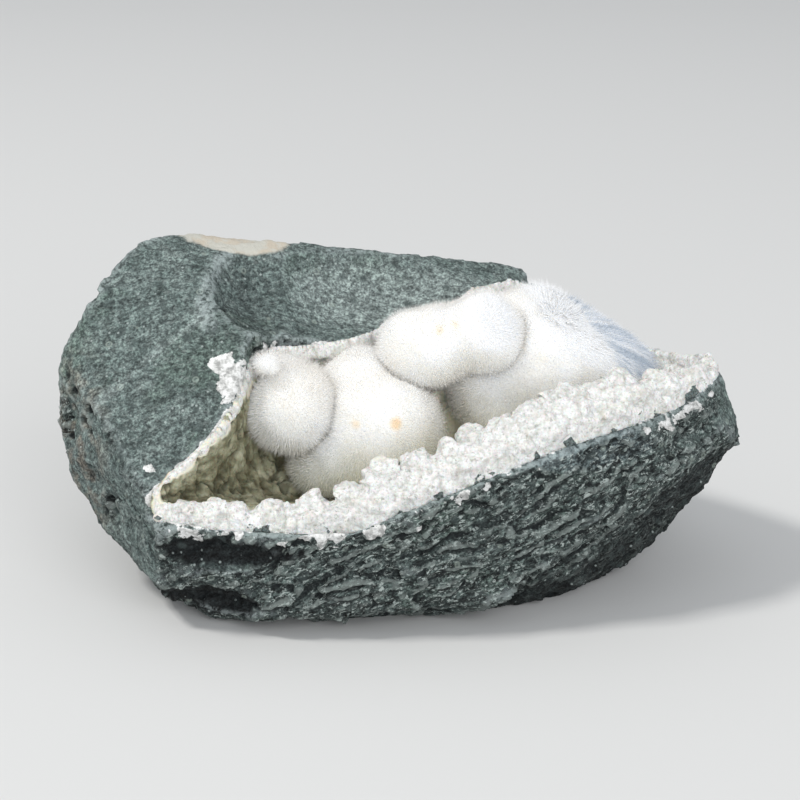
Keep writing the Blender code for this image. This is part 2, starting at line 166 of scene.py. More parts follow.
def outward(mesh):
    """The unit normal at each point."""
    n = np.empty(len(mesh.vertices) * 3, np.float32)
    mesh.vertex_normals.foreach_get("vector", n)
    return n.reshape(-1, 3).astype(float)


def softened(mesh, co, rounds):
    """The points after each has moved to the middle of its neighbours some number of times."""
    edges = np.empty(len(mesh.edges) * 2, np.int32)
    mesh.edges.foreach_get("vertices", edges)
    a, b = edges.reshape(-1, 2).T
    count = np.bincount(a, minlength=len(co)) + np.bincount(b, minlength=len(co))
    count = np.maximum(count, 1)[:, None]
    for _ in range(rounds):
        total = np.stack(
            [
                np.bincount(a, co[b, i], len(co)) + np.bincount(b, co[a, i], len(co))
                for i in range(co.shape[1])
            ],
            axis=1,
        )
        co = 0.4 * co + 0.6 * total / count
    return co


def rise(low, high, value):
    """0 below low, 1 above high, and a smooth rise between them."""
    t = np.clip((value - low) / (high - low), 0, 1)
    return t * t * (3 - 2 * t)


def clouds(co, size, seed, octaves=3):
    """Cloudy noise, about -1 to 1, whose largest lumps are size across."""
    shift = np.array([3.7, 9.1, 5.3]) * seed
    return np.array([noise.fractal(p, 1.0, 2.0, octaves) for p in (co / size + shift).tolist()])


def pebbles(co, size, seed):
    """Distance to the nearest and the second nearest of scattered seeds, in units of size."""
    shift = np.array([4.3, 1.9, 7.7]) * seed
    found = [noise.voronoi(p)[0] for p in (co / size + shift).tolist()]
    near = np.array([(d[0], d[1]) for d in found])
    return near[:, 0], near[:, 1]


def wobble(co, size, seed):
    """Smooth noise in all three directions, about -1 to 1."""
    shift = np.array([6.1, 2.3, 4.9]) * seed
    return np.array([tuple(noise.noise_vector(p)) for p in (co / size + shift).tolist()])


def shards(co, size, seed):
    """Height of broken, randomly tilted flat chips about size across, about -1 to 1."""
    p = co / size + np.array([5.1, 2.7, 8.3]) * seed
    seat = np.array([tuple(noise.voronoi(q)[1][0]) for q in p.tolist()])
    spin = np.array([[127.1, 269.5, 113.5], [311.7, 183.3, 271.9], [74.7, 246.1, 124.6]])
    luck = np.sin(np.round(seat, 3) @ spin + seed) * 4375.85
    luck = luck - np.floor(luck)
    return (luck[:, 0] - 0.5) * 1.1 + ((p - seat) * (luck - 0.5)).sum(axis=1) * 2.6


def from_line(mm, *corners):
    """Distance in millimetres from each point to a line through the corners."""
    best = np.full(len(mm), 1e9)
    for one, two in zip(np.array(corners[:-1], float), np.array(corners[1:], float)):
        along = two - one
        t = np.clip((mm - one) @ along / (along @ along), 0, 1)[:, None]
        best = np.minimum(best, np.linalg.norm(mm - one - t * along, axis=1))
    return best


def blob(mm, centre, reach):
    """Distance from a centre in units of reach."""
    return np.linalg.norm((mm - np.array(centre)) / np.array(reach), axis=1)


def white_reach(co):
    """How far the white crust runs past its drawn edge onto the stone, in millimetres."""
    return 0.2 + 3.2 * clouds(co, 4.5 * MM, 31, 3) + 1.0 * clouds(co, 1.3 * MM, 32, 2)


def keep(mesh, name, values):
    """Stores one number a point, which the finish reads."""
    layer = mesh.attributes.new(name, "FLOAT", "POINT")
    layer.data.foreach_set("value", values.astype(np.float32))


def keep_arrows(mesh, name, values):
    """Stores one direction a point, which the fibres follow."""
    layer = mesh.attributes.new(name, "FLOAT_VECTOR", "POINT")
    layer.data.foreach_set("vector", values.astype(np.float32).ravel())


def distance_to(tree, co, reach):
    """How far each point is from a surface, up to reach."""
    found = (tree.find_nearest(Vector(p), reach)[3] for p in co.tolist())
    return np.array([reach if d is None else d for d in found])


def surface_of(*nodes):
    """A search tree over CAD nodes."""
    verts, faces = [], []
    for node in nodes:
        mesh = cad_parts[node].data
        first = len(verts)
        verts += [v.co.copy() for v in mesh.vertices]
        faces += [[first + i for i in p.vertices] for p in mesh.polygons]
    return BVHTree.FromPolygons(verts, faces)


# Finish helpers: each adds nodes to a material and gives back what they put out


def new_finish(name):
    """A material, its tree, its shader and the place on the object, in metres."""
    finish = bpy.data.materials.new(name)
    finish.use_nodes = True
    tree = finish.node_tree
    shader = tree.nodes["Principled BSDF"]
    place = tree.nodes.new("ShaderNodeTexCoord").outputs["Object"]
    return finish, tree, shader, place


def feed(tree, socket, value):
    """Joins an output to a socket, or sets the socket."""
    if isinstance(value, bpy.types.NodeSocket):
        tree.links.new(value, socket)
    elif socket.type == "RGBA":
        socket.default_value = (*value, 1.0)
    else:
        socket.default_value = value


def mottle(tree, place, size, detail=3.0, rough=0.55, warp=0.0, stretch=(1, 1, 1), turn=(0, 0, 0)):
    """Cloudy noise, 0 to 1, whose patches are about size across."""
    if stretch != (1, 1, 1) or turn != (0, 0, 0):
        mapping = tree.nodes.new("ShaderNodeMapping")
        mapping.vector_type = "TEXTURE"
        feed(tree, mapping.inputs["Vector"], place)
        mapping.inputs["Rotation"].default_value = turn
        mapping.inputs["Scale"].default_value = stretch
        place = mapping.outputs[0]
    n = tree.nodes.new("ShaderNodeTexNoise")
    feed(tree, n.inputs["Vector"], place)
    n.inputs["Scale"].default_value = 1 / size
    n.inputs["Detail"].default_value = detail
    n.inputs["Roughness"].default_value = rough
    n.inputs["Distortion"].default_value = warp
    return n.outputs[0]


def spots(tree, place, size, edge=False):
    """Distance to the nearest of scattered seeds size apart, or to the edge between them."""
    n = tree.nodes.new("ShaderNodeTexVoronoi")
    n.feature = "DISTANCE_TO_EDGE" if edge else "F1"
    feed(tree, n.inputs["Vector"], place)
    n.inputs["Scale"].default_value = 1 / size
    return n.outputs["Distance"]


def stepped(tree, value, low, high, to_low=0.0, to_high=1.0):
    """A smooth change from to_low to to_high as value goes from low to high."""
    n = tree.nodes.new("ShaderNodeMapRange")
    n.interpolation_type = "SMOOTHSTEP"
    feed(tree, n.inputs["Value"], value)
    ends = {"From Min": low, "From Max": high, "To Min": to_low, "To Max": to_high}
    for socket, number in ends.items():
        feed(tree, n.inputs[socket], number)
    return n.outputs[0]


def worked(tree, operation, a, b=0.0):
    """A sum, product or other plain operation on numbers."""
    n = tree.nodes.new("ShaderNodeMath")
    n.operation = operation
    n.use_clamp = operation in ("MULTIPLY", "ADD", "SUBTRACT")
    feed(tree, n.inputs[0], a)
    feed(tree, n.inputs[1], b)
    return n.outputs[0]


def scaled(tree, value, by, plus):
    """value times by, plus a number or another value, past 0 and 1 too."""
    n = tree.nodes.new("ShaderNodeMath")
    n.operation = "MULTIPLY_ADD"
    for socket, number in zip(n.inputs, (value, by, plus)):
        feed(tree, socket, number)
    return n.outputs[0]


def both(tree, a, b):
    """The product of two masks."""
    return worked(tree, "MULTIPLY", a, b)


def tinted(tree, mask, under, over, way="MIX"):
    """Colour over laid on colour under where mask is 1."""
    n = tree.nodes.new("ShaderNodeMix")
    n.data_type = "RGBA"
    n.blend_type = way
    feed(tree, n.inputs["Factor"], mask)
    feed(tree, n.inputs["A"] if n.inputs["A"].type == "RGBA" else n.inputs[6], under)
    feed(tree, n.inputs["B"] if n.inputs["B"].type == "RGBA" else n.inputs[7], over)
    return n.outputs[2]


def dabbed(tree, mask, share, under, over):
    """Colour over laid on colour under where mask is 1, with only a share of its strength."""
    return tinted(tree, both(tree, mask, share), under, over)


def shades(tree, value, *stops):
    """A colour for each value, given as places from 0 to 1 and their colours."""
    n = tree.nodes.new("ShaderNodeValToRGB")
    ramp = n.color_ramp
    while len(ramp.elements) < len(stops):
        ramp.elements.new(0.5)
    for element, (where, colour) in zip(ramp.elements, stops):
        element.position = where
        element.color = (*colour, 1.0)
    feed(tree, n.inputs["Fac"], value)
    return n.outputs["Color"]


def patch(tree, place, centre, reach, ragged=None, fray=0.35, sharp=0.5):
    """1 inside an ellipsoid of centre and reach in millimetres, 0 outside, with a frayed edge."""
    mapping = tree.nodes.new("ShaderNodeMapping")
    mapping.vector_type = "TEXTURE"
    feed(tree, mapping.inputs["Vector"], place)
    mapping.inputs["Location"].default_value = [c * MM for c in centre]
    mapping.inputs["Scale"].default_value = [r * MM for r in reach]
    length = tree.nodes.new("ShaderNodeVectorMath")
    length.operation = "LENGTH"
    feed(tree, length.inputs[0], mapping.outputs[0])
    far = length.outputs["Value"]
    if ragged is not None:
        far = scaled(tree, far, 1.0, scaled(tree, ragged, 2 * fray, -fray))
    return stepped(tree, far, 1.0 - sharp / 2, 1.0 + sharp / 2, 1.0, 0.0)


def streaks(tree, place, heart, count):
    """Streaks that run out from a heart, given in millimetres, 0 to 1."""
    away = tree.nodes.new("ShaderNodeVectorMath")
    away.operation = "SUBTRACT"
    feed(tree, away.inputs[0], place)
    away.inputs[1].default_value = [c * MM for c in heart]
    way = tree.nodes.new("ShaderNodeVectorMath")
    way.operation = "NORMALIZE"
    feed(tree, way.inputs[0], away.outputs[0])
    return mottle(tree, way.outputs[0], 1 / count, 2.0, 0.6)


def stored_on(tree, name):
    """The number that keep() stored at each point."""
    n = tree.nodes.new("ShaderNodeAttribute")
    n.attribute_name = name
    return n.outputs["Fac"]


def bumped(tree, height, depth, under=None, strength=1.0):
    """A normal that makes height, 0 to 1, stand depth metres proud."""
    n = tree.nodes.new("ShaderNodeBump")
    feed(tree, n.inputs["Strength"], strength)
    n.inputs["Distance"].default_value = depth
    feed(tree, n.inputs["Height"], height)
    if under is not None:
        feed(tree, n.inputs["Normal"], under)
    return n.outputs[0]


# The finishes


def basalt_finish():
    """Grey-green basalt: fine salt-and-pepper grain, pale and dark spots, tints by region with
    painted shade and painted light among them, and painted highlights and painted shade on the
    relief.
    """
    finish, tree, shader, place = new_finish("basalt")
    relief = stored_on(tree, "relief")
    raw = stored_on(tree, "raw")
    tone_and_painted_light = stored_on(tree, "tone_and_painted_light")
    broad = mottle(tree, place, 16 * MM, 4.0, 0.6, 0.6)
    patchy = mottle(tree, place, 4 * MM, 5.0, 0.65)
    grain = mottle(tree, place, 0.42 * MM, 2.0, 0.6)
    grit = mottle(tree, place, 1.1 * MM, 3.0, 0.7)
    drawn = mottle(tree, place, 0.9 * MM, 4.0, 0.7, 0.3, (2.6, 1, 1), (0, -0.38, 0))
    kept = worked(tree, "SUBTRACT", 1.0, raw)
    hackle = worked(tree, "ADD", both(tree, drawn, raw), both(tree, grit, kept))
    ground = shades(
        tree,
        patchy,
        (0.30, (0.066, 0.090, 0.085)),
        (0.50, (0.108, 0.140, 0.134)),
        (0.72, (0.160, 0.197, 0.188)),
    )
    ground = tinted(tree, stepped(tree, broad, 0.50, 0.66, 0.0, 0.5), ground, (0.086, 0.126, 0.104))
    rust = patch(tree, place, (-58, -12, 22), (9, 18, 20), broad, 0.5, 0.8)
    rust = both(tree, rust, stepped(tree, mottle(tree, place, 3 * MM, 3.0), 0.42, 0.62))
    ground = dabbed(tree, rust, 0.5, ground, (0.20, 0.150, 0.115))
    blue = patch(tree, place, (32, -28, 31), (13, 8, 3.2), patchy, 0.3, 0.5)
    ground = dabbed(tree, blue, 0.5, ground, (0.20, 0.25, 0.27))
    # Low tone darkens towards near black and high tone lightens: besides the stone's own tone, this
    # paints shade and light.
    ground = tinted(tree, stepped(tree, tone_and_painted_light, 0.5, 0.0), ground, (0.014, 0.018, 0.019))
    ground = tinted(tree, stepped(tree, tone_and_painted_light, 0.5, 1.0), ground, (0.34, 0.39, 0.38))
    dark = tinted(tree, 1.0, ground, (0.50, 0.50, 0.50), "MULTIPLY")
    ground = tinted(tree, raw, ground, dark)
    salt = shades(
        tree,
        grain,
        (0.34, (0.22, 0.22, 0.22)),
        (0.50, (0.49, 0.49, 0.49)),
        (0.64, (0.80, 0.81, 0.79)),
    )
    # Painted light and shade on the grain: the colour follows the bump height, lighter on raised
    # grains and darker in low ones, besides the grain's own contrast.
    hackle_grain_light_and_shade = shades(
        tree,
        hackle,
        (0.38, (0.06, 0.06, 0.06)),
        (0.50, (0.46, 0.46, 0.46)),
        (0.60, (1.0, 1.0, 0.98)),
    )
    ground = tinted(tree, stepped(tree, raw, 0.0, 1.0, 0.85, 1.0), ground, salt, "OVERLAY")
    ground = tinted(tree, stepped(tree, raw, 0.0, 1.0, 0.50, 1.0), ground, hackle_grain_light_and_shade, "OVERLAY")
    # Painted highlights go only where the stone is not under painted shade.
    bright = stepped(tree, tone_and_painted_light, 0.05, 0.4)
    # Painted glints on small lit facets and painted shadow in the crevices between them.
    chips = mottle(tree, place, 0.62 * MM, 3.0, 0.75, 0.4, (2.0, 1, 1), (0, -0.38, 0))
    glint_share = stepped(tree, raw, 0.0, 1.0, 0.18, 0.80)
    painted_glint_chips = both(tree, stepped(tree, chips, 0.54, 0.64), glint_share)
    chip_shadow_share = stepped(tree, raw, 0.0, 1.0, 0.45, 0.88)
    painted_shadow_chips = both(tree, stepped(tree, chips, 0.46, 0.36), chip_shadow_share)
    ground = dabbed(tree, painted_glint_chips, bright, ground, (0.48, 0.54, 0.51))
    ground = tinted(tree, painted_shadow_chips, ground, (0.012, 0.015, 0.016))
    soft_spots = stepped(tree, spots(tree, place, 3.6 * MM), 0.12, 0.30, 1.0, 0.0)
    soft_spots = both(tree, soft_spots, stepped(tree, broad, 0.32, 0.50))
    ground = dabbed(tree, soft_spots, 0.65, ground, (0.050, 0.066, 0.064))
    pits = stepped(tree, spots(tree, place, 1.25 * MM), 0.10, 0.22, 1.0, 0.0)
    pits = both(tree, pits, stepped(tree, patchy, 0.38, 0.54))
    ground = dabbed(tree, pits, 0.75, ground, (0.030, 0.040, 0.042))
    specks = stepped(tree, spots(tree, place, 1.9 * MM), 0.07, 0.15, 1.0, 0.0)
    ground = dabbed(tree, specks, 0.6, ground, (0.42, 0.48, 0.46))
    far = spots(tree, place, 5.2 * MM)
    ring = both(tree, stepped(tree, far, 0.05, 0.09), stepped(tree, far, 0.14, 0.10))
    ground = dabbed(tree, ring, 0.4, ground, (0.36, 0.42, 0.37))
    # Painted shade in the hollows of the relief.
    painted_shade_in_hollows = stepped(tree, relief, 0.44, 0.16)
    ground = dabbed(tree, painted_shade_in_hollows, 0.88, ground, (0.009, 0.012, 0.013))
    # Painted highlight on the tops of the ledges.
    painted_highlight_on_tops = both(tree, stepped(tree, relief, 0.58, 0.82), bright)
    ground = dabbed(tree, painted_highlight_on_tops, 0.45, ground, (0.30, 0.34, 0.32))
    frost = both(tree, stored_on(tree, "frost"), stepped(tree, grit, 0.36, 0.58))
    ground = dabbed(tree, frost, 0.55, ground, (0.38, 0.43, 0.43))
    cream = patch(tree, place, (-29.2, 14.6, 56.2), (10.5, 6.6, 4.0), patchy, 0.25, 0.14)
    lighter = stepped(tree, patchy, 0.45, 0.6)
    cream_tint = tinted(tree, lighter, (0.54, 0.53, 0.47), (0.54, 0.48, 0.39))
    ground = dabbed(tree, cream, 0.95, ground, cream_tint)
    white = stepped(tree, scaled(tree, grit, 0.5, stored_on(tree, "fleck")), 0.73, 0.79)
    chalk = shades(
        tree,
        grit,
        (0.38, (0.34, 0.34, 0.33)),
        (0.52, (0.66, 0.66, 0.64)),
        (0.64, (0.84, 0.84, 0.83)),
    )
    ground = dabbed(tree, white, 0.95, ground, chalk)
    feed(tree, shader.inputs["Base Color"], ground)
    feed(tree, shader.inputs["Roughness"], stepped(tree, grain, 0.3, 0.75, 0.95, 0.62))
    shader.inputs["Specular IOR Level"].default_value = 0.3
    coarse = bumped(tree, hackle, 0.60 * MM, None, stepped(tree, raw, 0.0, 1.0, 0.40, 1.0))
    fine = bumped(tree, grain, 0.20 * MM, coarse, stepped(tree, raw, 0.0, 1.0, 0.6, 1.0))
    feed(tree, shader.inputs["Normal"], fine)
    return finish


def druse_finish():
    """Chalk-white crust of fine crystals with painted shade in the creases between lumps, khaki and
    wrinkled on the inner wall at the left, with painted shade in its folds.
    """
    finish, tree, shader, place = new_finish("druse")
    painted_crease_shade = stored_on(tree, "painted_crease_shade")
    sugar = mottle(tree, place, 0.40 * MM, 3.0, 0.7)
    grit = mottle(tree, place, 0.95 * MM, 4.0, 0.7)
    patchy = mottle(tree, place, 4 * MM, 4.0, 0.6)
    white = shades(
        tree,
        sugar,
        (0.30, (0.58, 0.58, 0.54)),
        (0.46, (0.84, 0.84, 0.82)),
        (0.66, (0.94, 0.94, 0.93)),
    )
    white = tinted(tree, stepped(tree, patchy, 0.52, 0.72, 0.0, 0.35), white, (0.76, 0.74, 0.62))
    white = tinted(tree, stepped(tree, grit, 0.43, 0.32, 0.0, 0.75), white, (0.36, 0.36, 0.32))
    # Painted shade in the creases between lumps.
    white = dabbed(tree, painted_crease_shade, 0.50, white, (0.36, 0.35, 0.29))
    khaki = shades(
        tree,
        patchy,
        (0.34, (0.15, 0.140, 0.080)),
        (0.48, (0.31, 0.302, 0.195)),
        (0.64, (0.56, 0.55, 0.400)),
    )
    khaki = tinted(tree, stepped(tree, grit, 0.44, 0.34, 0.0, 0.6), khaki, (0.085, 0.080, 0.045))
    # Painted shade in the folds of the inner wall.
    khaki = dabbed(tree, painted_crease_shade, 0.8, khaki, (0.050, 0.045, 0.022))
    inner = stored_on(tree, "inner_wall")
    ground = tinted(tree, stepped(tree, inner, 0.0, 0.5), white, (0.84, 0.81, 0.66))
    ground = tinted(tree, stepped(tree, inner, 0.5, 1.0), ground, khaki)
    moss = patch(tree, place, (43.5, 0.5, 36.5), (1.0, 1.8, 1.8), grit, 0.4, 0.6)
    ground = dabbed(tree, moss, 0.7, ground, (0.60, 0.60, 0.24))
    bare = stepped(tree, scaled(tree, grit, 0.5, stored_on(tree, "bare")), 0.73, 0.78)
    rock = shades(tree, sugar, (0.36, (0.030, 0.038, 0.037)), (0.62, (0.20, 0.24, 0.23)))
    ground = tinted(tree, bare, ground, rock)
    feed(tree, shader.inputs["Base Color"], ground)
    shader.inputs["Roughness"].default_value = 0.78
    shader.inputs["Specular IOR Level"].default_value = 0.4
    shader.inputs["Subsurface Weight"].default_value = 0.2
    shader.inputs["Subsurface Scale"].default_value = 0.8 * MM
    rough = bumped(tree, grit, 0.55 * MM)
    feed(tree, shader.inputs["Normal"], bumped(tree, sugar, 0.16 * MM, rough))
    return finish


def okenite_finish(name, fibre):
    """White okenite: fine crystals with cream clouds, a cream painted shade on the lower part,
    orange spots and a grey broken side.
    """
    finish, tree, shader, place = new_finish(name)
    broad = mottle(tree, place, 8 * MM, 2.0, 0.5)
    whiter = stepped(tree, broad, 0.42, 0.66)
    ground = tinted(tree, whiter, (0.925, 0.905, 0.870), (0.950, 0.943, 0.925))
    cream = mottle(tree, place, 4 * MM, 3.0, 0.5, 0.4)
    ground = tinted(tree, stepped(tree, cream, 0.54, 0.72, 0.0, 0.45), ground, (0.93, 0.875, 0.80))
    # Painted shade: a cream tint on the lower part of each ball.
    ground = dabbed(tree, stored_on(tree, "low"), 0.7, ground, (0.94, 0.925, 0.83))
    for centre, reach, depth in (
        ((-0.7, -17.6, 31.9), 0.9, 0.62),
        ((-7.6, -17.2, 31.4), 0.8, 0.35),
        ((6.7, -9.9, 45.8), 0.8, 0.30),
        ((9.3, -9.3, 46.6), 0.7, 0.25),
    ):
        spot = patch(tree, place, centre, (reach, 2.2, reach), cream, 0.3, 1.2)
        ground = dabbed(tree, spot, depth, ground, (0.85, 0.58, 0.28))
    rays = streaks(tree, place, BREAK_HEART, 14.0)
    inside = shades(
        tree,
        rays,
        (0.38, (0.54, 0.60, 0.67)),
        (0.50, (0.68, 0.73, 0.79)),
        (0.62, (0.91, 0.92, 0.94)),
    )
    ground = tinted(tree, stored_on(tree, "section"), ground, inside)
    ground = tinted(tree, stored_on(tree, "fan"), ground, (0.97, 0.975, 0.98))
    feed(tree, shader.inputs["Base Color"], ground)
    shader.inputs["Roughness"].default_value = 0.5
    shader.inputs["Specular IOR Level"].default_value = 0.3
    if fibre:
        shader.inputs["Alpha"].default_value = 0.40
    else:
        shader.inputs["Subsurface Weight"].default_value = 1.0
        shader.inputs["Subsurface Scale"].default_value = 6.0 * MM
        shader.inputs["Subsurface Radius"].default_value = (1.0, 0.96, 0.90)
        tufted = bumped(tree, mottle(tree, place, 0.9 * MM, 3.0, 0.6), 0.30 * MM)
        feed(tree, shader.inputs["Normal"], tufted)
    return finish


# The stone


# Scraps of white crust left on the stone: centre and reach
SCRAPS = [
    ((-28.2, -14.8, 37.8), (2.7, 4.2, 4.6)), ((-30.2, -13.2, 41.0), (1.6, 2.5, 1.8)),
    ((-41.0, -26.1, 27.4), (1.1, 1.1, 0.8)), ((-11.3, -35.4, 19.2), (2.2, 2.0, 2.0)),
    ((-34.8, -33.3, 19.4), (1.2, 1.4, 1.1)), ((-37.3, -32.3, 21.0), (1.0, 1.5, 1.0)),
    ((-32.8, -33.6, 17.9), (0.8, 1.2, 0.7)), ((-38.6, -29.5, 25.0), (1.2, 1.4, 1.3)),
    ((49.5, -15.0, 34.2), (2.6, 2.6, 0.9)), ((44.0, -19.5, 33.0), (1.8, 2.2, 0.8)),
]  # fmt: skip


def rough_stone():
    """The basalt stone: hackly broken front with ledges, a smoother lit side, pits at the left."""
    stone = reskinned(merged_copy("basalt_stone", "rough_basalt_stone"), STONE_GRAIN)
    mesh = stone.data
    co = points(mesh)
    standing = co[:, 2] < 0.25 * MM
    co = softened(mesh, co, 8)
    co[standing, 2] = 0.0
    move_points(mesh, co)
    n = outward(mesh)
    mm = co / MM
    broad = softened(mesh, n, 22)
    broad /= np.linalg.norm(broad, axis=1, keepdims=True)
    bend = ((co - softened(mesh, co, 50)) * n).sum(axis=1) / MM
    front = rise(0.25, 0.6, -broad[:, 1]) * rise(0.5, 0.15, broad[:, 2])
    front *= rise(0.80, 0.60, -broad[:, 0])
    under = rise(0.2, 0.6, -broad[:, 2])
    end = rise(0.50, 0.75, -broad[:, 0]) * rise(-36, -44, mm[:, 0])
    quiet = rise(0.0, 0.4, broad[:, 2]) * rise(0.1, 0.4, -broad[:, 1])
    broken = 1 - quiet
    raw = np.clip(front + under, 0, 1) * (1 - 0.8 * end)
    away = distance_to(surface_of("hollow_crust"), co, 9 * MM) / MM

    lean = np.array([0.93, 0.0, 0.37])
    along = co - 0.55 * (co @ lean)[:, None] * lean + 0.9 * MM * wobble(co, 3.5 * MM, 1)
    layer = mm[:, 2] - (0.30 + 0.18 * rise(5, 35, mm[:, 0])) * mm[:, 0] + 0.35 * mm[:, 1]
    layer += 3.4 * clouds(co, 11 * MM, 1, 2) + 2.2 * clouds(along, 4 * MM, 2, 2)
    share = np.mod(layer / 2.9, 1.0)
    ledge = rise(0.0, 0.14, share) * (1 - rise(0.40, 0.95, share))
    uneven = rise(-0.15, 0.45, clouds(along, 4.0 * MM, 3, 2))
    grit = clouds(co, 1.5 * MM, 5, 3)
    lift = 0.28 * clouds(co, 6 * MM, 4, 4) * (0.35 + 0.65 * broken) + (0.05 + 0.13 * broken) * grit
    tight = along - 0.20 * (co @ lean)[:, None] * lean
    lift += raw * (0.65 * shards(along, 5.2 * MM, 1) + 0.36 * shards(tight, 1.6 * MM, 2))
    bent = co + 0.8 * MM * wobble(co, 3 * MM, 2)
    lift += (broken - np.minimum(raw, broken)) * 0.35 * shards(bent, 4.5 * MM, 3)
    lift += front * (ledge - 0.5) * 0.9 * uneven
    vesicled = end * rise(19, 25, mm[:, 2]) * rise(40, 35, mm[:, 2]) * rise(-46, -50, mm[:, 0])
    near, _ = pebbles(co, 3.4 * MM, 6)
    lift -= vesicled * 1.5 * rise(0.46, 0.18, near) * rise(-0.35, 0.15, clouds(co, 6 * MM, 7, 2))
    slope = np.array([0.42, -0.66, -0.62])
    lift += end * 0.30 * clouds(co - 0.8 * (co @ slope)[:, None] * slope, 1.8 * MM, 8, 2)
    relief = lift - softened(mesh, lift[:, None], 22)[:, 0]

    open_front = rise(0.15, 0.45, -broad[:, 1]) * rise(0.62, 0.35, broad[:, 2])
    fleck = 0.5 + 0.35 * (white_reach(co) * (0.25 + 0.75 * open_front) - away + 0.4)
    islands = 0.62 - 0.09 * away + 0.32 * clouds(co, 1.8 * MM, 11, 3)
    fleck = np.maximum(fleck, np.minimum(islands, 0.9) * open_front * rise(4.5, 2.5, away) - 0.16)
    # Painted shadow: a dark band on the front at the left, under the overhanging lower edge of the
    # crust. White flecks are taken out of it.
    painted_shadow_band = 0.55 * rise(1.2, 0.8, blob(mm, (-28, -32, 15.8), (12, 7, 2.8)) + 0.25 * grit)
    fleck -= 0.5 * painted_shadow_band
    for centre, reach in SCRAPS:
        scrap = 0.85 - 0.35 * blob(mm, centre, reach) + 0.30 * clouds(co, 1.5 * MM, 12, 3)
        fleck = np.maximum(fleck, scrap)
    fleck = np.clip(fleck, 0, 1)
    raised = rise(0.45, 0.62, fleck)

    # The stone's tone by region: part is its own tone, part is painted shade and painted light, as
    # marked below.
    streak = from_line(mm, (-51, -16, 35), (-44, -11.5, 39.2), (-40, -9.5, 43), (-32.5, -6, 47.5))
    tone_and_painted_light = 0.20 * rise(1.8, 0.2, streak + 0.9 * clouds(co, 2.5 * MM, 14, 3))
    past = (mm - np.array([-50.4, -15.3, 35.4])) @ np.array([0.64, -0.57, -0.515])
    tone_and_painted_light -= 0.10 * rise(0, 3, past) * rise(-24, -28, mm[:, 0]) * quiet
    # Painted shade at the left end of the scoop, whose wall faces away from the key lamp.
    painted_shade_scoop_end = blob(mm, (-26.0, 1.0, 47.5), (7, 10, 7)) + 0.35 * clouds(co, 4 * MM, 15, 3)
    tone_and_painted_light -= 0.20 * rise(1.3, 0.5, painted_shade_scoop_end)
    tone_and_painted_light -= painted_shadow_band
    # Painted shadow: a second dark band lower on the front at the left, under an overhang.
    tone_and_painted_light -= 0.50 * rise(1.2, 0.8, blob(mm, (-31, -29, 5.5), (10, 7, 2.8)) + 0.25 * grit)
    # Painted shade: the right part of the front below a fold line is darkened.
    fold = np.interp(mm[:, 0], (8, 22, 32, 42, 53, 58), (3, 8, 11.5, 18, 28, 31))
    painted_shade_below_fold = rise(2.0, -5.0, mm[:, 2] - fold + 1.5 * grit)
    tone_and_painted_light -= 0.20 * painted_shade_below_fold * rise(8, 20, mm[:, 0]) * rise(10, -5, mm[:, 1])
    # Painted light: the scoop is made paler.
    tone_and_painted_light += 0.22 * rise(1.3, 0.5, blob(mm, (0, 12, 46), (26, 10, 9)) + 0.2 * grit)
    # Painted shade on faces that look down.
    tone_and_painted_light -= 0.2 * under
    frost = rise(0.10, 0.42, bend) * (1 - under)
    arris = from_line(mm, (-28, 13.5, 55.5), (-32, 5, 53), (-33.5, -3, 49.8), (-32.5, -7.5, 46.5))
    frost = np.maximum(frost, rise(2.0, 0.7, arris + 0.7 * clouds(co, 3 * MM, 13, 2)))

    lift = lift * rise(0.0, 1.3, away) + 0.30 * raised * rise(4.0, 2.5, away)
    lift *= rise(0.0, 1.0 * MM, co[:, 2])
    co += n * lift[:, None] * MM
    co[:, 2] = np.maximum(co[:, 2], 0.0)
    move_points(mesh, co)
    keep(mesh, "relief", np.clip(0.5 + relief * 0.9, 0, 1))
    keep(mesh, "raw", raw)
    keep(mesh, "tone_and_painted_light", np.clip(0.5 + tone_and_painted_light, 0, 1))
    keep(mesh, "frost", frost)
    keep(mesh, "fleck", fleck)
    return thinned(stone, STONE_FACES)


# The crust


